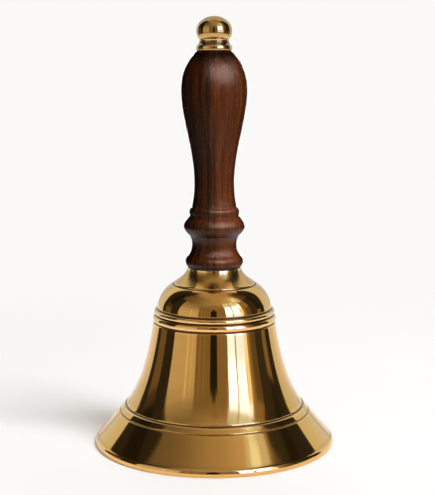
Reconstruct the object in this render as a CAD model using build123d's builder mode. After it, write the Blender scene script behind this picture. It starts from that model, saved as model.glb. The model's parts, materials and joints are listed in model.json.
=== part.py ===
from build123d import *
import math
import os

# Brass hand bell with a turned wooden handle, a brass finial and a clapper on a link.
# Millimetres, +Z up. The origin is the centre of the rim's lower face, on which the bell stands.
# Every turned piece is a half section in the XZ plane, revolved about Z: x is the radius, y is the height.

# ---------------------------------------------------------------- driving dimensions

# bell shell, outside
MOUTH_R = 63.85           # rim, at its lower edge
LIP_TOP_R = 63.0          # rim band, at its upper edge
LIP_TOP_Z = 3.9
GROOVE_LOW_Z = 17.6       # lower edges of the two grooves cut round the flare
GROOVE_LOW_R = 50.9
GROOVE_HIGH_Z = 20.6
GROOVE_HIGH_R = 48.4
EDGE = 0.3                # small roundings and returns of turned edges
SHOULDER_Z = 65.3         # top of the waist
SHOULDER_R = 32.5
NOTCH_Z = 65.9            # groove between the waist and the lower bead
NOTCH_R = 31.6
SPLIT_Z = 69.8            # groove between the two beads
SPLIT_R = 31.1
BEAD_LOW_R = 32.75
BEAD_HIGH_R = 32.1
DOME_Z = 72.9             # groove at the foot of the dome
DOME_R = 30.5
NECK_Z = 86.6             # edge of the neck, over a groove in the dome
NECK_R = 21.7
CROWN_Z = 95.0            # top of the neck
CROWN_R = 14.2

# bell shell, inside
LIP_INNER_R = 60.2        # the rim's lower face runs from here to MOUTH_R
CEILING_Z = 90.4          # flat seat for the crown washer
CEILING_R = 11.0
ROD_HOLE_R = 3.2

# handle
FOOT_Z = 95.8             # the wooden foot stands on the neck washer
FOOT_BEAD_R = 15.2
COVE_R = 11.7
MAIN_BEAD_R = 16.1
MAIN_BEAD_Z = 116.6
SMALL_BEAD_R = 13.2
SMALL_BEAD_Z = 125.0
WAIST_R = 10.55           # thinnest part of the grip
WAIST_Z = 139.5
GRIP_R = 17.35            # thickest part of the grip
GRIP_Z = 187.0
GRIP_TOP_Z = 208.4

# finial
COLLAR_R = 9.4
COLLAR_NECK_R = 7.7
COLLAR_TOP_Z = 214.2
KNOB_FOOT_R = 7.6
KNOB_R = 9.27
KNOB_Z = 218.3            # height of the knob's widest circle
TOP_Z = 226.0             # top of the knob

# fastening through the crown and the handle
ROD_R = 3.0               # M6
ROD_TOP_Z = 221.0
WASHER_R = 9.0
WASHER_T = 1.6
SPRING_WASHER_R = 6.1
SPRING_WASHER_T = 1.6
SPRING_WASHER_SLIT = 0.8
NUT_AF = 10.0             # M6 nut, across flats
NUT_H = 5.0
THREAD_GAP = 0.05         # radial clearance of every threaded hole
NUT_CORNER = 0.5          # height of the chamfer at a nut's corners

# clapper suspension: three wires of one thickness, linked with one gap all round
WIRE_R = 1.5
LINK_GAP = 0.4
BEND_R = 2 * WIRE_R + LINK_GAP    # wire centreline round the wire that it hangs on
EYE_R = 5.0               # centreline of the fixed eye
EYE_NUT_AF = 9.0
EYE_NUT_H = 6.0
EYE_NUT_WEB = 0.8         # floor left under the eye nut's blind thread
EYE_ROOT = 0.6            # how far the eye's wire runs into its nut
PIVOT_DROP = 7.0          # from the swing pivot down to the sway pivot

# clapper
BALL_R = 11.0
BALL_Z = 17.0
BALL_FLAT_R = 2.9         # flats on the ball, where its two nuts bear
BALL_FLAT_H = 10.6        # from the ball's centre to each flat
SHANK_END_Z = 2.4
CLAPPER_NUT_AF = 5.5      # M3 nut, across flats
CLAPPER_NUT_H = 2.4

# heights that follow from the above
SPRING_WASHER_Z = CEILING_Z - WASHER_T
NUT_TOP_Z = SPRING_WASHER_Z - SPRING_WASHER_T
NUT_FOOT_Z = NUT_TOP_Z - NUT_H
EYE_NUT_FOOT_Z = NUT_FOOT_Z - EYE_NUT_H
ROD_FOOT_Z = EYE_NUT_FOOT_Z + EYE_NUT_WEB + THREAD_GAP
KNOB_HOLE_Z = ROD_TOP_Z + 0.4     # end of the knob's blind thread
EYE_Z = EYE_NUT_FOOT_Z - EYE_R - WIRE_R + EYE_ROOT
SWING_Z = EYE_Z - EYE_R           # swing pivot: centre of the eye's lowest wire
SWAY_Z = SWING_Z - PIVOT_DROP     # sway pivot: centre of the link's lowest wire
SHANK_HOLE_R = WIRE_R + THREAD_GAP
ROD_THREAD_R = ROD_R + THREAD_GAP

os.makedirs("parts", exist_ok=True)


def hexagon_radius(across_flats):
    """Distance from the centre of a hexagon to its corners."""
    return across_flats / math.sqrt(3)


# ---------------------------------------------------------------- bell shell

with BuildPart() as bell_shell:
    with BuildSketch(Plane.XZ):
        with BuildLine():
            # outside, from the rim up to the crown
            Line((MOUTH_R - EDGE, 0), (MOUTH_R, EDGE))
            ThreePointArc((MOUTH_R, EDGE), (MOUTH_R + 0.13, 1.4), (LIP_TOP_R + EDGE, LIP_TOP_Z - EDGE))
            Line((LIP_TOP_R + EDGE, LIP_TOP_Z - EDGE), (LIP_TOP_R - EDGE, LIP_TOP_Z + 0.1))
            ThreePointArc(
                (LIP_TOP_R - EDGE, LIP_TOP_Z + 0.1),
                (56.6, 10.8),
                (GROOVE_LOW_R, GROOVE_LOW_Z),
            )
            Line((GROOVE_LOW_R, GROOVE_LOW_Z), (GROOVE_LOW_R - 0.7, GROOVE_LOW_Z))
            Line((GROOVE_LOW_R - 0.7, GROOVE_LOW_Z), (GROOVE_LOW_R - 0.5, GROOVE_LOW_Z + 0.5))
            ThreePointArc(
                (GROOVE_LOW_R - 0.5, GROOVE_LOW_Z + 0.5),
                (49.4, 19.4),
                (GROOVE_HIGH_R, GROOVE_HIGH_Z),
            )
            Line((GROOVE_HIGH_R, GROOVE_HIGH_Z), (GROOVE_HIGH_R - 1.3, GROOVE_HIGH_Z + 0.3))
            Line((GROOVE_HIGH_R - 1.3, GROOVE_HIGH_Z + 0.3), (GROOVE_HIGH_R - 1.25, GROOVE_HIGH_Z + 1.1))
            Spline(
                (GROOVE_HIGH_R - 1.25, GROOVE_HIGH_Z + 1.1),
                (42.2, 29.9),
                (37.4, 42.7),
                (34.3, 55.5),
                (SHOULDER_R, SHOULDER_Z),
            )
            Line((SHOULDER_R, SHOULDER_Z), (NOTCH_R, NOTCH_Z))
            Line((NOTCH_R, NOTCH_Z), (BEAD_LOW_R - EDGE, NOTCH_Z + 0.5))
            ThreePointArc((BEAD_LOW_R - EDGE, NOTCH_Z + 0.5), (BEAD_LOW_R, 67.8), (32.2, SPLIT_Z - 0.5))
            Line((32.2, SPLIT_Z - 0.5), (SPLIT_R, SPLIT_Z))
            Line((SPLIT_R, SPLIT_Z), (BEAD_HIGH_R - EDGE, SPLIT_Z + 0.5))
            ThreePointArc((BEAD_HIGH_R - EDGE, SPLIT_Z + 0.5), (BEAD_HIGH_R, 71.3), (31.5, DOME_Z - 0.5))
            Line((31.5, DOME_Z - 0.5), (DOME_R - 0.3, DOME_Z))
            Line((DOME_R - 0.3, DOME_Z), (DOME_R - 0.1, DOME_Z + 0.5))
            Spline((DOME_R - 0.1, DOME_Z + 0.5), (29.6, 77.2), (26.9, 82.0), (NECK_R + 0.9, NECK_Z - 0.75))
            Line((NECK_R + 0.9, NECK_Z - 0.75), (NECK_R, NECK_Z - 0.9))
            Line((NECK_R, NECK_Z - 0.9), (NECK_R, NECK_Z))
            Spline((NECK_R, NECK_Z), (16.8, 90.2), (14.75, 92.9), (CROWN_R, CROWN_Z))
            # flat crown, rod hole and ceiling
            Line((CROWN_R, CROWN_Z), (ROD_HOLE_R, CROWN_Z))
            Line((ROD_HOLE_R, CROWN_Z), (ROD_HOLE_R, CEILING_Z))
            Line((ROD_HOLE_R, CEILING_Z), (CEILING_R, CEILING_Z))
            # inside, from the ceiling down to the rim
            Spline((CEILING_R, CEILING_Z), (19.6, 85.9), (25.6, 79.3), (28.4, 71.0))
            Spline((28.4, 71.0), (30.8, 57.5), (34.2, 43.0), (38.6, 30.2), (44.2, 20.6))
            Line((44.2, 20.6), (LIP_INNER_R, 1.6))
            Line((LIP_INNER_R, 1.6), (LIP_INNER_R, 0))
            Line((LIP_INNER_R, 0), (MOUTH_R - EDGE, 0))
        make_face()
    revolve(axis=Axis.Z)
bell_shell.part.label = "bell_shell"
export_step(bell_shell.part, "parts/bell_shell.step")

# ---------------------------------------------------------------- washer between crown and handle

with BuildPart() as neck_washer:
    with BuildSketch(Plane.XY.offset(CROWN_Z)):
        Circle(CROWN_R - EDGE)
        Circle(ROD_HOLE_R, mode=Mode.SUBTRACT)
    extrude(amount=FOOT_Z - CROWN_Z)
neck_washer.part.label = "neck_washer"
export_step(neck_washer.part, "parts/neck_washer.step")

# ---------------------------------------------------------------- turned wooden handle

with BuildPart() as handle_grip:
    with BuildSketch(Plane.XZ):
        with BuildLine():
            Line((ROD_HOLE_R, FOOT_Z), (14.5, FOOT_Z))
            # foot bead
            ThreePointArc((14.5, FOOT_Z), (FOOT_BEAD_R, 97.9), (13.8, 101.3))
            Line((13.8, 101.3), (13.6, 101.5))
            # cove up to the thin ledge
            Spline((13.6, 101.5), (COVE_R, 107.2), (12.5, 111.0), (13.3, 112.4))
            Line((13.3, 112.4), (13.8, 112.7))
            # main bead, then a small fillet
            Spline((13.8, 112.7), (15.2, 114.4), (MAIN_BEAD_R, MAIN_BEAD_Z), (15.2, 119.7), (13.3, 122.1))
            Line((13.3, 122.1), (13.0, 122.3))
            Line((13.0, 122.3), (13.05, 123.4))
            # small bead
            ThreePointArc((13.05, 123.4), (SMALL_BEAD_R, SMALL_BEAD_Z), (12.15, 127.0))
            Line((12.15, 127.0), (11.85, 127.2))
            # grip: hollow waist, then the bulge that fills the palm
            Spline(
                (11.85, 127.2),
                (WAIST_R, WAIST_Z),
                (12.25, 156.5),
                (15.6, 173.0),
                (GRIP_R, GRIP_Z),
                (15.8, 197.9),
                (12.3, 204.6),
                (9.0, GRIP_TOP_Z),
            )
            Line((9.0, GRIP_TOP_Z), (ROD_HOLE_R, GRIP_TOP_Z))
            Line((ROD_HOLE_R, GRIP_TOP_Z), (ROD_HOLE_R, FOOT_Z))
        make_face()
    revolve(axis=Axis.Z)
handle_grip.part.label = "handle_grip"
export_step(handle_grip.part, "parts/handle_grip.step")

# ---------------------------------------------------------------- finial: collar and knob

with BuildPart() as finial_collar:
    with BuildSketch(Plane.XZ):
        with BuildLine():
            Line((ROD_HOLE_R, GRIP_TOP_Z), (COLLAR_R - EDGE, GRIP_TOP_Z))
            ThreePointArc((COLLAR_R - EDGE, GRIP_TOP_Z), (COLLAR_R, 209.7), (8.9, 211.2))
            Line((8.9, 211.2), (8.5, 211.4))
            ThreePointArc((8.5, 211.4), (COLLAR_NECK_R, 212.9), (7.9, COLLAR_TOP_Z))
            Line((7.9, COLLAR_TOP_Z), (ROD_HOLE_R, COLLAR_TOP_Z))
            Line((ROD_HOLE_R, COLLAR_TOP_Z), (ROD_HOLE_R, GRIP_TOP_Z))
        make_face()
    revolve(axis=Axis.Z)
finial_collar.part.label = "finial_collar"
export_step(finial_collar.part, "parts/finial_collar.step")

with BuildPart() as finial_knob:
    with BuildSketch(Plane.XZ):
        with BuildLine():
            ThreePointArc((KNOB_FOOT_R, COLLAR_TOP_Z), (8.85, 215.9), (KNOB_R, KNOB_Z))
            Spline(
                (KNOB_R, KNOB_Z),
                (KNOB_R * math.sin(math.pi / 4), KNOB_Z + (TOP_Z - KNOB_Z) * math.sin(math.pi / 4)),
                (0, TOP_Z),
                tangents=[(0, 1), (-1, 0)],
            )
            Line((0, TOP_Z), (0, COLLAR_TOP_Z))
            Line((0, COLLAR_TOP_Z), (KNOB_FOOT_R, COLLAR_TOP_Z))
        make_face()
    revolve(axis=Axis.Z)
    # blind threaded hole for the tie rod
    with BuildSketch(Plane.XY.offset(COLLAR_TOP_Z)):
        Circle(ROD_THREAD_R)
    extrude(amount=KNOB_HOLE_Z - COLLAR_TOP_Z, mode=Mode.SUBTRACT)
finial_knob.part.label = "finial_knob"
export_step(finial_knob.part, "parts/finial_knob.step")

# ---------------------------------------------------------------- tie rod, washers and crown nut

with BuildPart() as tie_rod:
    with BuildSketch(Plane.XY.offset(ROD_FOOT_Z)):
        Circle(ROD_R)
    extrude(amount=ROD_TOP_Z - ROD_FOOT_Z)
    chamfer(tie_rod.edges().filter_by(GeomType.CIRCLE), length=0.5)
tie_rod.part.label = "tie_rod"
export_step(tie_rod.part, "parts/tie_rod.step")

with BuildPart() as crown_washer:
    with BuildSketch(Plane.XY.offset(CEILING_Z)):
        Circle(WASHER_R)
        Circle(ROD_HOLE_R, mode=Mode.SUBTRACT)
    extrude(amount=-WASHER_T)
    chamfer(crown_washer.edges().group_by(Axis.Z)[0].sort_by(SortBy.RADIUS)[-1], length=EDGE)
crown_washer.part.label = "crown_washer"
export_step(crown_washer.part, "parts/crown_washer.step")

with BuildPart() as spring_washer:
    with BuildSketch(Plane.XY.offset(SPRING_WASHER_Z)):
        Circle(SPRING_WASHER_R)
        Circle(ROD_HOLE_R, mode=Mode.SUBTRACT)
        with Locations((SPRING_WASHER_R, 0)):
            Rectangle(SPRING_WASHER_R, SPRING_WASHER_SLIT, mode=Mode.SUBTRACT)
    extrude(amount=-SPRING_WASHER_T)
spring_washer.part.label = "spring_washer"
export_step(spring_washer.part, "parts/spring_washer.step")

with BuildPart() as crown_nut:
    with BuildSketch(Plane.XY.offset(NUT_FOOT_Z)):
        RegularPolygon(hexagon_radius(NUT_AF), 6)
        Circle(ROD_THREAD_R, mode=Mode.SUBTRACT)
    extrude(amount=NUT_H)
    with BuildSketch(Plane.XZ):
        with BuildLine():
            Polyline(
                (0, NUT_FOOT_Z),
                (NUT_AF / 2, NUT_FOOT_Z),
                (hexagon_radius(NUT_AF), NUT_FOOT_Z + NUT_CORNER),
                (hexagon_radius(NUT_AF), NUT_TOP_Z - NUT_CORNER),
                (NUT_AF / 2, NUT_TOP_Z),
                (0, NUT_TOP_Z),
                close=True,
            )
        make_face()
    revolve(axis=Axis.Z, mode=Mode.INTERSECT)
crown_nut.part.label = "crown_nut"
export_step(crown_nut.part, "parts/crown_nut.step")

# ---------------------------------------------------------------- clapper suspension

with BuildPart() as clapper_eye:
    # nut body on the rod's lower end
    with BuildSketch(Plane.XY.offset(EYE_NUT_FOOT_Z)):
        RegularPolygon(hexagon_radius(EYE_NUT_AF), 6)
    extrude(amount=EYE_NUT_H)
    with BuildSketch(Plane.XY.offset(EYE_NUT_FOOT_Z + EYE_NUT_WEB)):
        Circle(ROD_THREAD_R)
    extrude(amount=EYE_NUT_H, mode=Mode.SUBTRACT)
    # eye in the YZ plane
    with BuildSketch(Plane.XY.offset(EYE_Z)):
        with Locations((0, EYE_R)):
            Circle(WIRE_R)
    revolve(axis=Axis((0, 0, EYE_Z), (1, 0, 0)))
clapper_eye.part.label = "clapper_eye"
export_step(clapper_eye.part, "parts/clapper_eye.step")

with BuildPart() as clapper_link:
    # closed oval in the XZ plane, one end round the eye and the other at the sway pivot
    with BuildLine(Plane.XZ):
        ThreePointArc((BEND_R, SWING_Z), (0, SWING_Z + BEND_R), (-BEND_R, SWING_Z))
        Line((-BEND_R, SWING_Z), (-BEND_R, SWAY_Z + BEND_R))
        ThreePointArc((-BEND_R, SWAY_Z + BEND_R), (0, SWAY_Z), (BEND_R, SWAY_Z + BEND_R))
        Line((BEND_R, SWAY_Z + BEND_R), (BEND_R, SWING_Z))
    with BuildSketch(Plane((BEND_R, 0, SWING_Z), x_dir=(1, 0, 0), z_dir=(0, 0, 1))):
        Circle(WIRE_R)
    sweep()
clapper_link.part.label = "clapper_link"
export_step(clapper_link.part, "parts/clapper_link.step")

with BuildPart() as clapper_shank:
    # closed loop in the YZ plane, round the link's lowest wire
    with BuildSketch(Plane.XY.offset(SWAY_Z)):
        with Locations((0, BEND_R)):
            Circle(WIRE_R)
    revolve(axis=Axis((0, 0, SWAY_Z), (1, 0, 0)))
    # straight shank, its lower end threaded
    with BuildSketch(Plane.XY.offset(SHANK_END_Z)):
        Circle(WIRE_R)
    extrude(amount=SWAY_Z - BEND_R - SHANK_END_Z)
clapper_shank.part.label = "clapper_shank"
export_step(clapper_shank.part, "parts/clapper_shank.step")

# ---------------------------------------------------------------- clapper ball and its nuts

with BuildPart() as clapper_ball:
    with BuildSketch(Plane.XZ):
        with BuildLine():
            ThreePointArc(
                (BALL_FLAT_R, BALL_Z - BALL_FLAT_H),
                (BALL_R, BALL_Z),
                (BALL_FLAT_R, BALL_Z + BALL_FLAT_H),
            )
            Line((BALL_FLAT_R, BALL_Z + BALL_FLAT_H), (SHANK_HOLE_R, BALL_Z + BALL_FLAT_H))
            Line((SHANK_HOLE_R, BALL_Z + BALL_FLAT_H), (SHANK_HOLE_R, BALL_Z - BALL_FLAT_H))
            Line((SHANK_HOLE_R, BALL_Z - BALL_FLAT_H), (BALL_FLAT_R, BALL_Z - BALL_FLAT_H))
        make_face()
    revolve(axis=Axis.Z)
clapper_ball.part.label = "clapper_ball"
export_step(clapper_ball.part, "parts/clapper_ball.step")

with BuildPart() as clapper_nuts:
    for foot_z in (BALL_Z - BALL_FLAT_H - CLAPPER_NUT_H, BALL_Z + BALL_FLAT_H):
        with BuildSketch(Plane.XY.offset(foot_z)):
            RegularPolygon(hexagon_radius(CLAPPER_NUT_AF), 6)
            Circle(SHANK_HOLE_R, mode=Mode.SUBTRACT)
        extrude(amount=CLAPPER_NUT_H)
clapper_nuts.part.label = "clapper_nuts"
export_step(clapper_nuts.part, "parts/clapper_nuts.step")
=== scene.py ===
import json
import math

import bpy
import numpy as np
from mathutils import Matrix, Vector

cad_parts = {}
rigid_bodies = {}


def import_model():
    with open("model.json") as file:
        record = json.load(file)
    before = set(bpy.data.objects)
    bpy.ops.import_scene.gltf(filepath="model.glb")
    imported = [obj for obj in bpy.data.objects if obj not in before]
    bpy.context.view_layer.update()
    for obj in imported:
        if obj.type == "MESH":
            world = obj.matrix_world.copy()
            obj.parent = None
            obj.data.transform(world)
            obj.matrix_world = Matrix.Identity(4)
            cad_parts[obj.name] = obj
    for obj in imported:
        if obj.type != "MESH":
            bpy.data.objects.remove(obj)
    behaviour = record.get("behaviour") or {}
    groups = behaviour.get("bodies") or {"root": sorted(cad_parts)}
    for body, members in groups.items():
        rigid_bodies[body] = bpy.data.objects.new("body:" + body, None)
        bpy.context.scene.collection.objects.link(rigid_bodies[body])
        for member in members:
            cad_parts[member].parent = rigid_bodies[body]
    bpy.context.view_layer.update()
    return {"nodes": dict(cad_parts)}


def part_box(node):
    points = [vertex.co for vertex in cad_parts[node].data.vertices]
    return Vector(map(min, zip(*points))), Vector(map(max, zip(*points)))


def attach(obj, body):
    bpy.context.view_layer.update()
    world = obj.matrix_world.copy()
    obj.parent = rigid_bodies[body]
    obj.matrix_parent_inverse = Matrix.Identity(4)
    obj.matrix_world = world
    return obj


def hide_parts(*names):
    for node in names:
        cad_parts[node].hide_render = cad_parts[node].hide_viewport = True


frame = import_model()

# A brass hand bell with a turned rosewood handle, on a pale studio floor.
# Metres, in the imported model's frame: +Z up, the origin at the centre of the rim's lower face.

MM = 0.001
BELL_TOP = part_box("bell_shell")[1].z
HANDLE_FOOT, HANDLE_TOP = (corner.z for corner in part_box("handle_grip"))

scene = bpy.context.scene
scene.view_settings.view_transform = "Standard"


# ---------------------------------------------------------------- camera

CAMERA_DISTANCE = 648.5 * MM      # from the bell's axis
CAMERA_HEIGHT = 206.1 * MM
CAMERA_PITCH = 8.844              # degrees below the horizon
CAMERA_SIDE = 1.7 * MM            # the bell stands a little left of the middle
CAMERA_LENS = 90.03               # in millimetres, on a sensor of the width below
CAMERA_SENSOR = 36.0

camera_data = bpy.data.cameras.new("camera")
camera_data.lens = CAMERA_LENS
camera_data.sensor_width = CAMERA_SENSOR
camera_data.clip_start = 0.01
camera_data.clip_end = 100.0
camera = bpy.data.objects.new("camera", camera_data)
camera.location = (CAMERA_SIDE, -CAMERA_DISTANCE, CAMERA_HEIGHT)
camera.rotation_euler = (math.radians(90.0 - CAMERA_PITCH), 0.0, 0.0)
scene.collection.objects.link(camera)
scene.camera = camera


# ---------------------------------------------------------------- mesh helpers

def new_object(name, verts, faces, smooth=True):
    """A mesh object in the scene, with its vertices in the part's frame."""
    mesh = bpy.data.meshes.new(name)
    mesh.from_pydata([tuple(v) for v in verts], [], faces)
    mesh.validate()
    mesh.update()
    for face in mesh.polygons:
        face.use_smooth = smooth
    obj = bpy.data.objects.new(name, mesh)
    scene.collection.objects.link(obj)
    return obj


def level_ring(verts, height, segments, radius_at):
    """Adds a level ring of vertices round the bell's axis, and returns their numbers."""
    first = len(verts)
    for k in range(segments):
        angle = 2 * math.pi * k / segments
        radius = radius_at(angle)
        verts.append((radius * math.cos(angle), radius * math.sin(angle), height))
    return list(range(first, len(verts)))


def bridge(rings):
    """The faces between each ring and the next; beside a ring that is one point they are triangles."""
    faces = []
    for low, high in zip(rings, rings[1:]):
        for k in range(len(low)):
            after = (k + 1) % len(low)
            faces.append(list(dict.fromkeys((low[k], low[after], high[after], high[k]))))
    return faces


# ---------------------------------------------------------------- turned pieces, from the CAD's own outlines

CORNER_TURN = math.radians(9.5)   # a sharper turn than this in a CAD outline is an edge, not a curve
ON_PLANE = 1e-7                   # metres: how near to a plane or to the axis counts as on it
ROUNDING_SHARE = 0.45             # a rounded edge takes at most this share of the sides that meet there
GROOVE_DEPTH = 0.4                # a groove as deep as this share of its half width counts in full
CREST_GAIN = 0.9                  # how fast the painted highlight grows with an edge's height, on the same scale
CREST_START = 0.2                 # what is taken off it, so that shallow curves show none
CREST_MOST = 0.5


def cad_outline(node):
    """(points, closed): the half section of a turned CAD node, in order, as (radius, height)."""
    mesh = frame["nodes"][node].data
    place = {}
    for vertex in mesh.vertices:
        if abs(vertex.co.y) < ON_PLANE and vertex.co.x > -ON_PLANE:
            place[vertex.index] = (round(vertex.co.x, 7), round(vertex.co.z, 7))
    beside = {}
    for edge in mesh.edges:
        a, b = (place.get(i) for i in edge.vertices)
        if a is None or b is None or a == b:
            continue
        beside.setdefault(a, set()).add(b)
        beside.setdefault(b, set()).add(a)
    loose_ends = sorted(p for p in beside if len(beside[p]) == 1)
    start = loose_ends[-1] if loose_ends else min(beside, key=lambda p: (p[1], -p[0]))
    path = [start]
    step = max(beside[start])
    while step != start:
        path.append(step)
        onward = beside[step] - {path[-2]}
        if not onward:
            break
        step = onward.pop()
    # the flat end of a blind hole has no vertex on the axis
    if loose_ends and path[0][0] > 0.0:
        path.insert(0, (0.0, path[0][1]))
    return np.array(path), not loose_ends


def turn_at(a, b, c):
    """The angle by which a path turns at b."""
    u, v = b - a, c - b
    return abs(math.atan2(u[0] * v[1] - u[1] * v[0], float(u @ v)))


def smooth_stretch(points, step):
    """A fine polyline through points of one smooth curve, with the tangents of circles through them."""
    if len(points) == 2:
        parts = max(1, math.ceil(np.linalg.norm(points[1] - points[0]) / step))
        return [points[0] + (points[1] - points[0]) * i / parts for i in range(parts + 1)]
    chords = np.diff(points, axis=0)
    lengths = np.linalg.norm(chords, axis=1)
    ways = chords / lengths[:, None]
    tangents = np.zeros_like(points)
    for i in range(1, len(points) - 1):
        before, after = lengths[i - 1], lengths[i]
        tangents[i] = (ways[i - 1] * after + ways[i] * before) / (before + after)
    tangents[0] = 2 * ways[0] - tangents[1]
    tangents[-1] = 2 * ways[-1] - tangents[-2]
    tangents /= np.linalg.norm(tangents, axis=1)[:, None]
    fine = [points[0]]
    for i, length in enumerate(lengths):
        parts = max(2, math.ceil(length / step))
        for k in range(1, parts + 1):
            t = k / parts
            fine.append(
                (2 * t**3 - 3 * t**2 + 1) * points[i]
                + (t**3 - 2 * t**2 + t) * length * tangents[i]
                + (3 * t**2 - 2 * t**3) * points[i + 1]
                + (t**3 - t**2) * length * tangents[i + 1]
            )
    return fine


def trimmed(stretch, amount):
    """A polyline with a length taken off its start."""
    stretch = list(stretch)
    while len(stretch) > 2:
        first = np.linalg.norm(stretch[1] - stretch[0])
        if first > amount:
            break
        amount -= first
        stretch.pop(0)
    way = stretch[1] - stretch[0]
    length = np.linalg.norm(way)
    stretch[0] = stretch[0] + way * min(amount / length, 0.9)
    return stretch


def fine_outline(node, step, rounding):
    """A CAD outline as a fine polyline: smooth stretches redrawn, and each edge rounded over."""
    points, closed = cad_outline(node)
    count = len(points)
    if closed:
        corners = [
            i for i in range(count)
            if turn_at(points[i - 1], points[i], points[(i + 1) % count]) > CORNER_TURN
        ]
        points = np.roll(points, -corners[0], axis=0)
        corners = [i - corners[0] for i in corners] + [count]
        points = np.vstack([points, points[:1]])
    else:
        corners = [0]
        for i in range(1, count - 1):
            if turn_at(points[i - 1], points[i], points[i + 1]) > CORNER_TURN:
                corners.append(i)
        corners.append(count - 1)
    stretches = [smooth_stretch(points[a:b + 1], step) for a, b in zip(corners, corners[1:])]
    lengths = [sum(np.linalg.norm(np.diff(np.array(s), axis=0), axis=1)) for s in stretches]
    fine = []
    for i, stretch in enumerate(stretches):
        if i or closed:
            room = ROUNDING_SHARE * min(lengths[i], lengths[i - 1])
            stretch = trimmed(stretch, min(rounding, room))
        if closed or i + 1 < len(stretches):
            room = ROUNDING_SHARE * min(lengths[i], lengths[(i + 1) % len(stretches)])
            stretch = trimmed(stretch[::-1], min(rounding, room))[::-1]
        if fine:
            fine += edge_round(fine[-1], stretches[i][0], stretch[0])
        fine += stretch
    if closed:
        fine += edge_round(fine[-1], stretches[0][0], fine[0])
    return np.array(fine), closed


def edge_round(a, corner, b, parts=4):
    """The points between a and b of a rounded edge whose sides meet at corner."""
    inner = []
    for k in range(1, parts):
        t = k / parts
        inner.append((1 - t) ** 2 * a + 2 * t * (1 - t) * corner + t**2 * b)
    return inner


def relief(outline, reach):
    """(creases, crests): how deep each point of an outline lies in a groove, and how far out on an edge."""
    depths = np.zeros(len(outline))
    for i, point in enumerate(outline):
        near = [i]
        for way in (-1, 1):
            j, length = i, 0.0
            while length < reach and 0 <= j + way < len(outline):
                length += np.linalg.norm(outline[j + way] - outline[j])
                j += way
            near.append(j)
        chord = outline[near[2]] - outline[near[1]]
        span = np.linalg.norm(chord)
        if span > 0:
            offset = point - outline[near[1]]
            depths[i] = (chord[0] * offset[1] - chord[1] * offset[0]) / span / (GROOVE_DEPTH * reach)
    return np.clip(depths, 0.0, 1.0), np.clip(-CREST_GAIN * depths - CREST_START, 0.0, CREST_MOST)


def facing_inwards(outline, closed):
    """From 0 to 1, how far each point of an outline faces the axis, as the inside of a bell does."""
    if not closed:
        return np.zeros(len(outline))
    onward = np.roll(outline, -1, axis=0) - np.roll(outline, 1, axis=0)
    return np.clip(-4.0 * onward[:, 1] / np.linalg.norm(onward, axis=1), 0.0, 1.0)


def turned(name, node, body, step=0.5 * MM, rounding=0.25 * MM, segments=192, groove=1.2 * MM):
    """A lathe-turned piece that stands for a CAD node of the same outline."""
    outline, closed = fine_outline(node, step, rounding)
    marks = (*relief(outline, groove), facing_inwards(outline, closed))
    verts, rings, rows = [], [], []
    for row, (radius, height) in enumerate(outline):
        if radius < 10 * ON_PLANE:
            rings.append([len(verts)] * segments)
            verts.append((0.0, 0.0, height))
            rows.append(row)
        else:
            rings.append(level_ring(verts, height, segments, lambda angle: radius))
            rows += [row] * segments
    if closed:
        rings.append(rings[0])
    piece = new_object(name, verts, bridge(rings))
    for mark, values in zip(("crease", "crest", "inside"), marks):
        piece.data.attributes.new(mark, "FLOAT", "POINT").data.foreach_set("value", values[rows])
    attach(piece, body)
    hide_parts(node)
    return piece


bell_body = turned(
    "bell_shell_turned", "bell_shell", "bell", step=1.2 * MM, rounding=0.3 * MM, segments=224
)
handle = turned("handle_turned", "handle_grip", "bell", step=0.7 * MM, rounding=0.35 * MM)
collar = turned(
    "finial_collar_turned", "finial_collar", "bell",
    step=0.3 * MM, rounding=0.2 * MM, segments=128,
)
knob = turned(
    "finial_knob_turned", "finial_knob", "bell",
    step=0.4 * MM, rounding=0.2 * MM, segments=128,
)
neck_washer = turned("neck_washer_turned", "neck_washer", "bell", rounding=0.2 * MM)
ball = turned(
    "clapper_ball_turned", "clapper_ball", "clapper",
    step=0.6 * MM, rounding=0.3 * MM, segments=128,
)


# ---------------------------------------------------------------- fittings

NUT_SEGMENTS = 96
ROD_SEGMENTS = 48
STEPS_PER_TURN = 6                # rings of vertices to each turn of a thread
NUT_THREAD = 0.12                 # half a thread's depth, as a share of its pitch
ROD_THREAD = 0.16
TIP_BEVEL = 0.6                   # how far a rod's tip is bevelled, as a share of the pitch
# (height, inset) up a nut's lower chamfer, as shares of how far its corners reach past its flats
NUT_CHAMFER = ((0.0, 1.05), (0.0, 0.8), (0.203, 0.45), (0.58, 0.0))


def thread_wave(angle, height, pitch):
    """From -1 to 1 over each turn of a thread."""
    return math.sin(2 * math.pi * height / pitch - angle)


def hexagon_cut(angle, across_flats):
    """The radius of a hexagon at an angle, its corners on the X axis as in the CAD."""
    turned_by = (angle + math.pi / 6) % (math.pi / 3) - math.pi / 6
    return across_flats / 2 / math.cos(math.pi / 6 - abs(turned_by))


def fitting(name, node, body, verts, faces, smooth=True):
    """A steel piece that stands for a CAD node and rides on its body."""
    piece = new_object(name, verts, faces, smooth)
    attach(piece, body)
    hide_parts(node)
    return piece


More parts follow.
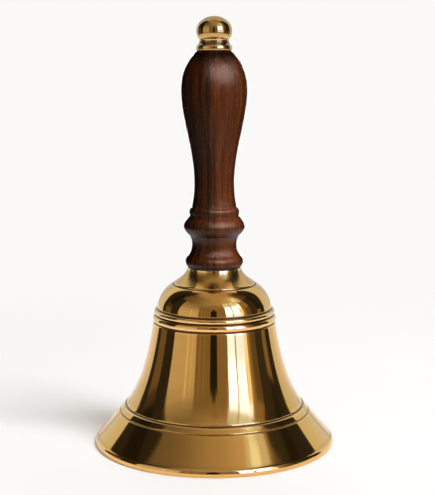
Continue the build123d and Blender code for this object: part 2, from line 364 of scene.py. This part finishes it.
def hex_nut(name, node, body, foot, height, across_flats, bore, pitch):
    """A hexagon nut with chamfered corners and a threaded bore; foot is the height of its lower face."""
    corner = across_flats / math.sqrt(3)
    reach = corner - across_flats / 2
    rows = [(foot + reach * up, corner - reach * inset) for up, inset in NUT_CHAMFER]
    rows += [(2 * foot + height - z, limit) for z, limit in reversed(rows)]
    verts, rings = [], []
    for z, limit in rows:
        rings.append(level_ring(
            verts, z, NUT_SEGMENTS, lambda angle: min(hexagon_cut(angle, across_flats), limit)
        ))
    # the bore, from the top down, as rounded turns of thread
    steps = max(2, round(height / pitch)) * STEPS_PER_TURN
    for step in range(steps + 1):
        up = height * (1 - step / steps)
        rings.append(level_ring(
            verts, foot + up, NUT_SEGMENTS,
            lambda angle: bore + NUT_THREAD * pitch * (1 + thread_wave(angle, up, pitch)),
        ))
    rings.append(rings[0])
    return fitting(name, node, body, verts, bridge(rings), smooth=False)


def threaded_rod(name, node, body, low, high, radius, pitch, plain_from, plain_to):
    """An upright rod whose ends outside the plain stretch carry a helical thread, with bevelled tips."""
    verts, rings = [], []
    steps = math.ceil((high - low) / (pitch / STEPS_PER_TURN))
    for step in range(steps + 1):
        z = low + (high - low) * step / steps
        tip = radius - TIP_BEVEL * pitch + min(z - low, high - z)
        depth = 0.0 if plain_from < z < plain_to else ROD_THREAD * pitch
        rings.append(level_ring(
            verts, z, ROD_SEGMENTS,
            lambda angle: min(radius - depth * (1 - thread_wave(angle, z, pitch)), tip),
        ))
    ends = [rings[0][::-1], rings[-1]]
    return fitting(name, node, body, verts, bridge(rings) + ends)


M6_PITCH = 1.0 * MM
M6_BORE = 2.75 * MM               # both bores are radii
M3_PITCH = 0.5 * MM
M3_BORE = 1.5 * MM
LOWER_THREAD = 18 * MM            # how far the tie rod is threaded from each end
UPPER_THREAD = 12 * MM

nut_low, nut_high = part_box("crown_nut")
crown_nut = hex_nut(
    "crown_nut_chamfered", "crown_nut", "bell",
    nut_low.z, nut_high.z - nut_low.z, nut_high.y * 2, M6_BORE, M6_PITCH,
)
nuts_low, nuts_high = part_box("clapper_nuts")
ball_low, ball_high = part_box("clapper_ball")
clapper_nuts = [
    hex_nut(name, "clapper_nuts", "clapper", foot, top - foot, nuts_high.y * 2, M3_BORE, M3_PITCH)
    for name, foot, top in (
        ("clapper_nut_low", nuts_low.z, ball_low.z),
        ("clapper_nut_high", ball_high.z, nuts_high.z),
    )
]
rod_low, rod_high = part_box("tie_rod")
tie_rod = threaded_rod(
    "tie_rod_threaded", "tie_rod", "bell",
    rod_low.z, rod_high.z, rod_high.x, M6_PITCH, rod_low.z + LOWER_THREAD, rod_high.z - UPPER_THREAD,
)


# ---------------------------------------------------------------- material helpers

def new_material(name):
    """(material, nodes, links, principled shader) of a new node material."""
    material = bpy.data.materials.new(name)
    material.use_nodes = True
    nodes = material.node_tree.nodes
    return material, nodes, material.node_tree.links, nodes["Principled BSDF"]


def math_node(nodes, links, operation, a, b=None, c=None):
    """A Math node's value; a, b and c are sockets or numbers."""
    node = nodes.new("ShaderNodeMath")
    node.operation = operation
    for socket, value in zip(node.inputs, (a, b, c)):
        if value is None:
            continue
        if isinstance(value, (int, float)):
            socket.default_value = value
        else:
            links.new(value, socket)
    return node.outputs[0]


def noise(nodes, links, vector, scale, detail=3.0, roughness=0.5):
    """A 3-D noise texture's factor."""
    node = nodes.new("ShaderNodeTexNoise")
    node.inputs["Scale"].default_value = scale
    node.inputs["Detail"].default_value = detail
    node.inputs["Roughness"].default_value = roughness
    links.new(vector, node.inputs["Vector"])
    return node.outputs["Fac"]


def ramp(nodes, links, factor, stops):
    """A colour ramp; stops are (position, (r, g, b)) in order."""
    node = nodes.new("ShaderNodeValToRGB")
    elements = node.color_ramp.elements
    while len(elements) < len(stops):
        elements.new(0.5)
    for element, (position, colour) in zip(elements, stops):
        element.position = position
        element.color = (*colour, 1.0)
    links.new(factor, node.inputs["Fac"])
    return node.outputs["Color"]


def place_parts(nodes, links):
    """(object coordinates, x, y, z, distance from the bell's axis) as sockets."""
    coordinates = nodes.new("ShaderNodeTexCoord").outputs["Object"]
    split = nodes.new("ShaderNodeSeparateXYZ")
    links.new(coordinates, split.inputs[0])
    x, y, z = split.outputs
    square = math_node(nodes, links, "ADD", math_node(nodes, links, "MULTIPLY", x, x),
                       math_node(nodes, links, "MULTIPLY", y, y))
    return coordinates, x, y, z, math_node(nodes, links, "SQRT", square)


def combine(nodes, links, x, y, z):
    """A vector from three sockets."""
    node = nodes.new("ShaderNodeCombineXYZ")
    for socket, value in zip(node.inputs, (x, y, z)):
        links.new(value, socket)
    return node.outputs[0]


def share_of_height(nodes, links, z, low, high):
    """From 0 to 1, where a height socket lies between two heights."""
    node = nodes.new("ShaderNodeMapRange")
    node.inputs["From Min"].default_value = low
    node.inputs["From Max"].default_value = high
    links.new(z, node.inputs["Value"])
    return node.outputs["Result"]


def painted(nodes, mark):
    """The value of a mark that the mesh carries at each vertex."""
    node = nodes.new("ShaderNodeAttribute")
    node.attribute_name = mark
    return node.outputs["Fac"]


def bump(nodes, links, height, distance, strength, shader):
    """Raises a shader's surface by a height socket."""
    node = nodes.new("ShaderNodeBump")
    node.inputs["Distance"].default_value = distance
    node.inputs["Strength"].default_value = strength
    links.new(height, node.inputs["Height"])
    links.new(node.outputs["Normal"], shader.inputs["Normal"])


def mix_colours(nodes, links, factor, a, b, blend="MIX"):
    """A mix of two colours; each is a socket or an (r, g, b). A factor of None is 1."""
    node = nodes.new("ShaderNodeMix")
    node.data_type = "RGBA"
    node.blend_type = blend
    if factor is None:
        node.inputs["Factor"].default_value = 1.0
    else:
        links.new(factor, node.inputs["Factor"])
    for socket, value in ((node.inputs["A"], a), (node.inputs["B"], b)):
        if isinstance(value, tuple):
            socket.default_value = (*value, 1.0)
        else:
            links.new(value, socket)
    return node.outputs["Result"]


def dress(obj, material):
    """Gives an object one material."""
    obj.data.materials.clear()
    obj.data.materials.append(material)


# ---------------------------------------------------------------- brass

BRASS = (0.81, 0.43, 0.11)
FINIAL_BRASS = (0.60, 0.34, 0.10)
CLAPPER_BRASS = (0.70, 0.42, 0.15)
EDGE_HIGHLIGHT_BRASS = (0.96, 0.68, 0.32)   # painted highlight on the edges
# painted shade: the colour that the grooves are darkened towards
GROOVE_SHADE_COLOUR = (0.045, 0.022, 0.018)
GROOVE_SHADE_AMOUNT = 0.9                       # how dark the grooves are painted, as shade in them
GROOVE_ROUGHNESS = 0.35
INSIDE_ROUGHNESS = 0.75           # the bell's inside was never polished
BRUSH_ROUGHNESS = 0.26
LINES_AROUND = 9.0                # noise cells per metre along the turning lines
LINES_ACROSS = 1500.0             # and across them


def brass(name, colour, polish, brushed, line_depth):
    """Polished brass, turned on a lathe: brushed stretches, fine turning lines and faint smudges.

    polish is the least roughness, brushed is a list of (height, amount) that says how much the brushing
    adds there, from 0 to 1, and line_depth is how strongly the turning lines stand out.
    """
    material, nodes, links, shader = new_material(name)
    coordinates, x, y, z, radius = place_parts(nodes, links)
    along = math_node(nodes, links, "SUBTRACT", z, radius)
    lines_at = combine(
        nodes, links,
        math_node(nodes, links, "MULTIPLY", x, LINES_AROUND),
        math_node(nodes, links, "MULTIPLY", y, LINES_AROUND),
        math_node(nodes, links, "MULTIPLY", along, LINES_ACROSS),
    )
    lines = noise(nodes, links, lines_at, 1.0, detail=4.0, roughness=0.7)
    smudges = noise(nodes, links, coordinates, 45.0, detail=5.0, roughness=0.6)
    tint = ramp(nodes, links, smudges, [
        (0.30, tuple(0.95 * c for c in colour)),
        (0.55, colour),
        (0.80, (min(1.0, colour[0] * 1.02), colour[1] * 1.03, colour[2] * 1.06)),
    ])
    # painted shade darkens the grooves, which are also made rougher
    groove_shade_and_dullness = math_node(nodes, links, "MULTIPLY", painted(nodes, "crease"), GROOVE_SHADE_AMOUNT)
    # painted highlight: the base colour turns pale cream on the convex edges
    edge_highlighted = mix_colours(nodes, links, painted(nodes, "crest"), tint, EDGE_HIGHLIGHT_BRASS)
    groove_shaded = mix_colours(nodes, links, groove_shade_and_dullness, edge_highlighted, GROOVE_SHADE_COLOUR)
    links.new(groove_shaded, shader.inputs["Base Color"])
    shader.inputs["Metallic"].default_value = 1.0

    height = share_of_height(nodes, links, z, 0.0, BELL_TOP)
    spread = ramp(nodes, links, height, [(h / BELL_TOP, (share,) * 3) for h, share in brushed])
    mottled = math_node(nodes, links, "MULTIPLY_ADD", lines, 0.8, smudges)
    amount = math_node(nodes, links, "MULTIPLY", spread, mottled)
    rough = math_node(nodes, links, "MULTIPLY_ADD", amount, BRUSH_ROUGHNESS, polish)
    dulled = math_node(nodes, links, "MULTIPLY_ADD", groove_shade_and_dullness, GROOVE_ROUGHNESS, rough)
    bare = math_node(nodes, links, "MULTIPLY", smudges, INSIDE_ROUGHNESS)
    unpolished = math_node(nodes, links, "MULTIPLY_ADD", painted(nodes, "inside"), bare, dulled)
    links.new(unpolished, shader.inputs["Roughness"])
    shader.inputs["Anisotropic"].default_value = 0.9
    shader.inputs["Anisotropic Rotation"].default_value = 0.25
    tangent = nodes.new("ShaderNodeTangent")
    tangent.direction_type = "RADIAL"
    tangent.axis = "Z"
    links.new(tangent.outputs[0], shader.inputs["Tangent"])
    bump(nodes, links, lines, 0.02 * MM, line_depth, shader)
    return material


bell_brass = brass("bell_brass_polished", BRASS, 0.06, [
    (0.0, 0.04),
    (12.0 * MM, 0.08),
    (24.0 * MM, 0.16),
    (34.0 * MM, 0.12),
    (50.0 * MM, 0.04),
    (84.0 * MM, 0.04),
    (88.0 * MM, 0.3),
], 0.10)
finial_brass = brass("finial_brass_polished", FINIAL_BRASS, 0.07, [(0.0, 0.1), (BELL_TOP, 0.1)], 0.05)
clapper_brass = brass("clapper_brass_turned", CLAPPER_BRASS, 0.18, [(0.0, 0.9), (BELL_TOP, 0.9)], 0.5)


# ---------------------------------------------------------------- wood

WRAP_RADIUS = 10.0 * MM           # the noise scales below hold near this radius
WRAP_LEAST = 0.25                 # how much of the grain doesn't follow the turned surface
WOOD_SPECULAR = 0.42
VARNISH_TINT = (1.0, 0.80, 0.70, 1.0)
VARNISH_ROUGHNESS = 0.05          # between the pores
PORE_ROUGHNESS = 0.36


def rosewood():
    """Dark rosewood under satin varnish, its grain running up the handle."""
    material, nodes, links, shader = new_material("handle_rosewood")
    _, x, y, z, radius = place_parts(nodes, links)

    # the grain partly follows the turned surface
    nearness = math_node(nodes, links, "DIVIDE", WRAP_RADIUS, radius)
    wrap = math_node(nodes, links, "ADD", nearness, WRAP_LEAST)

    def stretched(across, along, shift=0.0):
        """Coordinates for noise whose cells are that many per metre across and along the grain."""
        spread = math_node(nodes, links, "MULTIPLY", wrap, across)
        return combine(
            nodes, links,
            math_node(nodes, links, "MULTIPLY", x, spread),
            math_node(nodes, links, "MULTIPLY", y, spread),
            math_node(nodes, links, "MULTIPLY", math_node(nodes, links, "ADD", z, shift), along),
        )

    broad = noise(nodes, links, stretched(60.0, 4.0), 1.0, detail=3.0, roughness=0.55)
    streaks = noise(nodes, links, stretched(520.0, 5.0, 0.4), 1.0, detail=5.0, roughness=0.7)
    pores = noise(nodes, links, stretched(2400.0, 160.0, 0.9), 1.0, detail=3.0, roughness=0.7)
    mixed = math_node(nodes, links, "ADD", math_node(nodes, links, "MULTIPLY", broad, 0.5),
                      math_node(nodes, links, "MULTIPLY", streaks, 0.5))
    colour = ramp(nodes, links, mixed, [
        (0.38, (0.008, 0.0020, 0.0006)),
        (0.46, (0.032, 0.0080, 0.0020)),
        (0.54, (0.068, 0.0165, 0.0042)),
        (0.63, (0.120, 0.0310, 0.0085)),
    ])
    pore_shade = ramp(nodes, links, pores, [(0.34, (0.45, 0.45, 0.45)), (0.46, (1.0, 1.0, 1.0))])
    pored = mix_colours(nodes, links, broad, colour, pore_shade, "MULTIPLY")
    # painted shade: the wood is darker at both ends against the brass, most at the top under the collar
    height = share_of_height(nodes, links, z, HANDLE_FOOT, HANDLE_TOP)
    end_painted_shade = ramp(nodes, links, height, [
        (0.0, (0.4, 0.4, 0.4)),
        (0.02, (1.0, 1.0, 1.0)),
        (0.93, (1.0, 1.0, 1.0)),
        (0.98, (0.15, 0.15, 0.15)),
    ])
    ends_darkened = mix_colours(nodes, links, None, pored, end_painted_shade, "MULTIPLY")
    links.new(ends_darkened, shader.inputs["Base Color"])
    shader.inputs["Specular IOR Level"].default_value = WOOD_SPECULAR
    shader.inputs["Specular Tint"].default_value = VARNISH_TINT
    rough = math_node(nodes, links, "MULTIPLY_ADD", pores, PORE_ROUGHNESS, VARNISH_ROUGHNESS)
    links.new(rough, shader.inputs["Roughness"])
    flecks = noise(nodes, links, stretched(3400.0, 900.0, 1.3), 1.0, detail=2.0, roughness=0.6)
    bump(nodes, links, math_node(nodes, links, "ADD", pores, flecks), 0.2 * MM, 0.9, shader)
    return material


# ---------------------------------------------------------------- leather and steel

def leather():
    """Dark leather with a fine grain."""
    material, nodes, links, shader = new_material("washer_leather_dark")
    coordinates = nodes.new("ShaderNodeTexCoord").outputs["Object"]
    grain = noise(nodes, links, coordinates, 2200.0, detail=4.0, roughness=0.6)
    colour = ramp(nodes, links, grain, [(0.35, (0.010, 0.006, 0.004)), (0.65, (0.045, 0.024, 0.014))])
    links.new(colour, shader.inputs["Base Color"])
    shader.inputs["Roughness"].default_value = 0.7
    bump(nodes, links, grain, 0.1 * MM, 0.6, shader)
    return material


def steel():
    """Zinc-plated steel, slightly mottled."""
    material, nodes, links, shader = new_material("fitting_steel_zinc")
    coordinates = nodes.new("ShaderNodeTexCoord").outputs["Object"]
    mottle = noise(nodes, links, coordinates, 300.0, detail=5.0, roughness=0.6)
    colour = ramp(nodes, links, mottle, [
        (0.30, (0.38, 0.38, 0.37)),
        (0.55, (0.55, 0.55, 0.54)),
        (0.75, (0.62, 0.61, 0.57)),
    ])
    links.new(colour, shader.inputs["Base Color"])
    shader.inputs["Metallic"].default_value = 1.0
    rough = math_node(nodes, links, "MULTIPLY_ADD", mottle, 0.25, 0.2)
    links.new(rough, shader.inputs["Roughness"])
    bump(nodes, links, mottle, 0.03 * MM, 0.3, shader)
    return material


dress(bell_body, bell_brass)
dress(collar, finial_brass)
dress(knob, finial_brass)
dress(ball, clapper_brass)
dress(handle, rosewood())
dress(neck_washer, leather())
fitting_steel = steel()
for piece in (crown_nut, tie_rod, *clapper_nuts):
    dress(piece, fitting_steel)
for node in ("crown_washer", "spring_washer", "clapper_eye", "clapper_link", "clapper_shank"):
    dress(frame["nodes"][node], fitting_steel)


# ---------------------------------------------------------------- studio

DOME_R = 3.0                      # the light cards stand on a sphere round the bell
DOME_CENTRE = Vector((0.0, 0.0, 0.09))
CARD_STEP = 4                     # degrees: the most that one face of a card spans


def emission(name, colour, strength):
    """A material that only gives light."""
    material = bpy.data.materials.new(name)
    material.use_nodes = True
    nodes = material.node_tree.nodes
    nodes.clear()
    light = nodes.new("ShaderNodeEmission")
    light.inputs["Color"].default_value = (*colour, 1.0)
    light.inputs["Strength"].default_value = strength
    output = nodes.new("ShaderNodeOutputMaterial")
    material.node_tree.links.new(light.outputs[0], output.inputs["Surface"])
    return material


def direction(azimuth, elevation):
    """A unit vector; azimuth 0 is towards the camera, and positive is to its right."""
    a, e = math.radians(azimuth), math.radians(elevation)
    return Vector((math.sin(a) * math.cos(e), -math.cos(a) * math.cos(e), math.sin(e)))


def card(name, azimuths, elevations, strength, colour=(1.0, 1.0, 1.0), nearness=0.0, lean=(0.0, 0.0)):
    """A light card or a dark flag: a patch of the dome; lean moves its top corners in azimuth."""
    across = max(2, math.ceil(abs(azimuths[1] - azimuths[0]) / CARD_STEP))
    up = max(2, math.ceil(abs(elevations[1] - elevations[0]) / CARD_STEP))
    verts, faces = [], []
    for j in range(up + 1):
        elevation = elevations[0] + (elevations[1] - elevations[0]) * j / up
        left = azimuths[0] + lean[0] * j / up
        right = azimuths[1] + lean[1] * j / up
        for i in range(across + 1):
            azimuth = left + (right - left) * i / across
            verts.append(DOME_CENTRE + direction(azimuth, elevation) * (DOME_R - nearness))
    for j in range(up):
        for i in range(across):
            low = j * (across + 1) + i
            faces.append((low, low + 1, low + across + 2, low + across + 1))
    obj = new_object(name, verts, faces)
    dress(obj, emission(name, colour, strength))
    obj.visible_camera = False
    return obj


WARM = (1.0, 0.84, 0.62)
COOL = (0.84, 0.96, 1.0)
# On yellow brass these blues look like white daylight.
DAYLIGHT = (0.22, 0.36, 1.0)
DAYLIGHT_BRIGHT = (0.32, 0.42, 1.0)
DAYLIGHT_DIM = (0.46, 0.66, 1.0)
for pane in (
    card("window_left_low", (23.5, 37), (-6, 9), 6.0, DAYLIGHT),
    card("window_left_middle", (23, 37), (9, 28), 9.5, DAYLIGHT_BRIGHT),
    card("window_left_upper", (21.5, 37), (28, 36.5), 8.0, DAYLIGHT),
    card("window_left_top", (21, 37), (36.5, 51), 1.7, DAYLIGHT_DIM),
    card("window_right_low", (39, 55), (-6, 9), 5.5, DAYLIGHT),
    card("window_right_middle", (39, 54), (9, 28), 8.5, DAYLIGHT_BRIGHT),
    card("window_right_upper", (39, 55), (28, 37.5), 8.0, DAYLIGHT),
    card("window_right_top", (39, 60), (37.5, 51), 1.9, DAYLIGHT_DIM),
    card("window_edge_low", (55, 61), (-6, 27), 1.9, (0.7, 0.8, 1.0)),
    card("window_edge_upper", (55, 61.5), (27, 41), 5.0, (0.34, 0.48, 1.0)),
):
    pane.visible_diffuse = False
card("fill_strip_left", (-49, -46), (-8, 24), 0.86, nearness=0.02)
card("fill_strip_right", (-40, -38.5), (-8, 20), 0.80, nearness=0.02)
card("room_strip_left", (-26, -24.5), (-12, 30), 0.36, WARM, nearness=0.02)
card("room_strip_right", (-18, -16.5), (-12, 26), 0.33, WARM, nearness=0.02)
card("camera_top", (-4, 2), (24, 30), 0.03, nearness=0.02)
card("fill_panel_low", (-77, -32), (-8, 16), 0.66)
card("fill_panel_middle", (-77, -32), (16, 26), 0.58)
card("fill_panel_upper", (-77, -34), (26, 34), 0.42)
card("fill_panel_top", (-77, -36), (34, 42), 0.33)
card("camera_side", (-7, 5), (-12, 24), 0.018)
card("room_left", (-32, -7), (-12, 36), 0.25, WARM)
card("room_behind_camera", (-7, 5), (24, 46), 0.30, WARM)
card("room_right", (5, 23.5), (-12, 36), 0.28, WARM)
card("room_right_top", (5, 21), (36, 46), 0.36, WARM)
card("room_far_right_near", (61, 65), (-20, 24), 0.45, WARM)
card("room_far_right", (65, 69), (-20, 24), 0.24, WARM)
card("room_far_right_edge", (69, 79), (-20, 24), 0.14, WARM)
card("room_far_right_top", (61, 79), (24, 44), 0.32, WARM)
card("flag_left_front", (-97, -77), (-20, 46), 0.03)
card("flag_left_gap", (-114, -97), (-20, 10), 0.17, WARM)
card("flag_left_gap_middle", (-114, -97), (10, 20), 0.07, WARM)
card("flag_left_gap_top", (-114, -97), (20, 52), 0.015)
card("flag_left_back", (-128, -114), (-20, 60), 0.03, lean=(-16, 0))
card("flag_right_front", (79, 96), (-20, 46), 0.045)
card("flag_right_gap", (96, 106), (-20, 6), 0.25, WARM)
card("flag_right_gap_top", (96, 106), (6, 46), 0.02)
card("flag_right_back", (106, 122), (-20, 60), 0.03, lean=(0, 22))
card("backdrop_left_low", (-150, -125), (-20, 15), 0.92, COOL, nearness=0.1)
card("backdrop_left_high", (-150, -125), (15, 60), 0.92, COOL, nearness=0.1, lean=(0, -16))
card("backdrop_behind", (-210, -150), (-20, 60), 0.72, COOL, nearness=0.1)
card("backdrop_right_low", (119, 150), (-20, 15), 0.92, COOL, nearness=0.1)
card("backdrop_right_high", (119, 150), (15, 60), 0.92, COOL, nearness=0.1, lean=(21, 0))

# The ceiling's brightness as (azimuth, level): dim on the left, brighter to the right, and bright behind.
CEILING = [
    (-180, 0.85), (-128, 0.9), (-123, 0.03), (-100, 0.03), (-90, 0.15), (-62, 0.21),
    (-40, 0.29), (-13, 0.41), (16, 0.49), (42, 0.63), (64, 0.75), (73, 0.5),
    (82, 0.15), (100, 0.07), (118, 0.04), (124, 0.9), (180, 0.85),
]
CEILING_LOW = 44                  # the elevation of the ceiling's edge
CEILING_R = DOME_R + 0.2
OVERHEAD = (0.46, 0.42, 0.37)     # its colour above the bell, whatever the azimuth


def sky_band(centre, radius, low, high, rows, segments):
    """(vertices, faces) of a band of a sphere between two elevations."""
    verts, rings = [], []
    for row in range(rows + 1):
        elevation = low + (high - low) * row / rows
        rings.append(list(range(len(verts), len(verts) + segments)))
        for k in range(segments):
            verts.append(centre + direction(360 * k / segments, elevation) * radius)
    return verts, bridge(rings)


def ceiling():
    """The room above the cards, whose brightness goes by azimuth."""
    obj = new_object("ceiling", *sky_band(DOME_CENTRE, CEILING_R, CEILING_LOW, 89.9, 8, 72))
    material = emission("ceiling_glow", (1.0, 1.0, 1.0), 1.0)
    nodes, links = material.node_tree.nodes, material.node_tree.links
    _, x, y, _, radius = place_parts(nodes, links)
    azimuth = math_node(nodes, links, "ARCTAN2", x, math_node(nodes, links, "MULTIPLY", y, -1.0))
    turn = math_node(nodes, links, "MULTIPLY_ADD", azimuth, 0.5 / math.pi, 0.5)
    around = ramp(nodes, links, turn, [
        (0.5 + degrees / 360, (level, 0.92 * level, 0.80 * level)) for degrees, level in CEILING
    ])
    overhead = nodes.new("ShaderNodeMapRange")
    overhead.interpolation_type = "SMOOTHSTEP"
    overhead.inputs["From Min"].default_value = DOME_R * math.cos(math.radians(62))
    overhead.inputs["From Max"].default_value = DOME_R * math.cos(math.radians(76))
    links.new(radius, overhead.inputs["Value"])
    glow = mix_colours(nodes, links, overhead.outputs["Result"], around, OVERHEAD)
    links.new(glow, nodes["Emission"].inputs["Color"])
    dress(obj, material)
    obj.visible_camera = False


ceiling()
card("soft_lamp", (54, 66), (51, 60), 2.0, (0.56, 0.74, 1.0), nearness=0.1)
card("soft_lamp_halo", (48, 76), (46, 65), 1.1, (0.68, 0.81, 1.0), nearness=0.05)
key = card("key_light", (42, 74), (49, 70), 25.5, (0.96, 1.0, 1.04), nearness=0.3)
key.visible_glossy = False

HANDLE_MIDDLE = Vector((0.0, 0.0, 0.175))
LAMP_DISTANCE = 1.2
LAMP_WIDTH = 0.5
LAMP_HEIGHT = 0.7


def handle_lamp(name, azimuth, elevation, watts):
    """A soft box for the dark wood alone."""
    lamp = bpy.data.lights.new(name, "AREA")
    lamp.shape = "RECTANGLE"
    lamp.size = LAMP_WIDTH
    lamp.size_y = LAMP_HEIGHT
    lamp.energy = watts
    obj = bpy.data.objects.new(name, lamp)
    way = direction(azimuth, elevation)
    obj.location = HANDLE_MIDDLE + way * LAMP_DISTANCE
    obj.rotation_euler = way.to_track_quat("Z", "Y").to_euler()
    scene.collection.objects.link(obj)
    obj.visible_camera = False
    lit = bpy.data.collections.new(name + "_lights")
    lit.objects.link(handle)
    obj.light_linking.receiver_collection = lit


def keep_off(light, piece):
    """Keeps a card's light off one piece, as a small flag beside it would."""
    group = bpy.data.collections.new(light.name + "_kept_off")
    group.objects.link(piece)
    group.collection_objects[0].light_linking.link_state = "EXCLUDE"
    light.light_linking.receiver_collection = group


handle_lamp("handle_lamp", 38, 33, 19.0)
handle_lamp("handle_lamp_rear", 180, 6, 14.0)

world = bpy.data.worlds.new("room")
world.use_nodes = True
room_light = world.node_tree.nodes["Background"].inputs
room_light["Color"].default_value = (1.0, 0.92, 0.80, 1.0)
room_light["Strength"].default_value = 0.3
scene.world = world

PALE = (0.956, 0.948, 0.935)
BACKDROP_R = 8.0
FLOOR_ALBEDO = (0.80, 0.80, 0.80)
# light added to the floor near the bell, as from a white studio all round
FLOOR_LIFT = (0.18, 0.145, 0.125)
FLOOR_R = 0.62
FLOOR_NEAR = 0.14                 # the floor shades fully inside this radius
FLOOR_FAR = 0.50                  # and is plain pale beyond this one


def backdrop():
    """The pale backdrop that only the camera sees."""
    obj = new_object("backdrop", *sky_band(Vector(), BACKDROP_R, -90, 90, 32, 64))
    dress(obj, emission("backdrop_white", PALE, 1.0))
    for ray in ("diffuse", "glossy", "shadow", "transmission", "volume_scatter"):
        setattr(obj, "visible_" + ray, False)


def floor():
    """A pale floor whose shading fades into the backdrop away from the bell."""
    segments = 96
    verts = [(0.0, 0.0, 0.0)]
    rings = [[0] * segments]
    for ring_radius in (0.2, 0.45, FLOOR_R):
        rings.append(level_ring(verts, 0.0, segments, lambda angle: ring_radius))
    obj = new_object("floor", verts, [face[::-1] for face in bridge(rings)])
    material = bpy.data.materials.new("floor_pale")
    material.use_nodes = True
    nodes, links = material.node_tree.nodes, material.node_tree.links
    nodes.clear()
    _, _, _, _, radius = place_parts(nodes, links)
    near = nodes.new("ShaderNodeMapRange")
    near.interpolation_type = "SMOOTHSTEP"
    near.inputs["From Min"].default_value = FLOOR_NEAR
    near.inputs["From Max"].default_value = FLOOR_FAR
    links.new(radius, near.inputs["Value"])
    diffuse = nodes.new("ShaderNodeBsdfDiffuse")
    diffuse.inputs["Color"].default_value = (*FLOOR_ALBEDO, 1.0)
    lift = nodes.new("ShaderNodeEmission")
    lift.inputs["Color"].default_value = (*FLOOR_LIFT, 1.0)
    lifted = nodes.new("ShaderNodeAddShader")
    links.new(diffuse.outputs[0], lifted.inputs[0])
    links.new(lift.outputs[0], lifted.inputs[1])
    plain = nodes.new("ShaderNodeEmission")
    plain.inputs["Color"].default_value = (*PALE, 1.0)
    mix = nodes.new("ShaderNodeMixShader")
    links.new(near.outputs["Result"], mix.inputs[0])
    links.new(lifted.outputs[0], mix.inputs[1])
    links.new(plain.outputs[0], mix.inputs[2])
    output = nodes.new("ShaderNodeOutputMaterial")
    # seen from below the floor is clear, so that the clapper shows
    underneath = nodes.new("ShaderNodeNewGeometry").outputs["Backfacing"]
    clear = nodes.new("ShaderNodeBsdfTransparent")
    one_sided = nodes.new("ShaderNodeMixShader")
    links.new(underneath, one_sided.inputs[0])
    links.new(mix.outputs[0], one_sided.inputs[1])
    links.new(clear.outputs[0], one_sided.inputs[2])
    links.new(one_sided.outputs[0], output.inputs["Surface"])
    dress(obj, material)


backdrop()
floor()

# These are tinted and placed for the brass, and the wood has its own lamps in their place.
for obj in list(scene.objects):
    if obj.name.startswith(("window", "fill", "backdrop_", "ceiling", "floor")):
        keep_off(obj, handle)
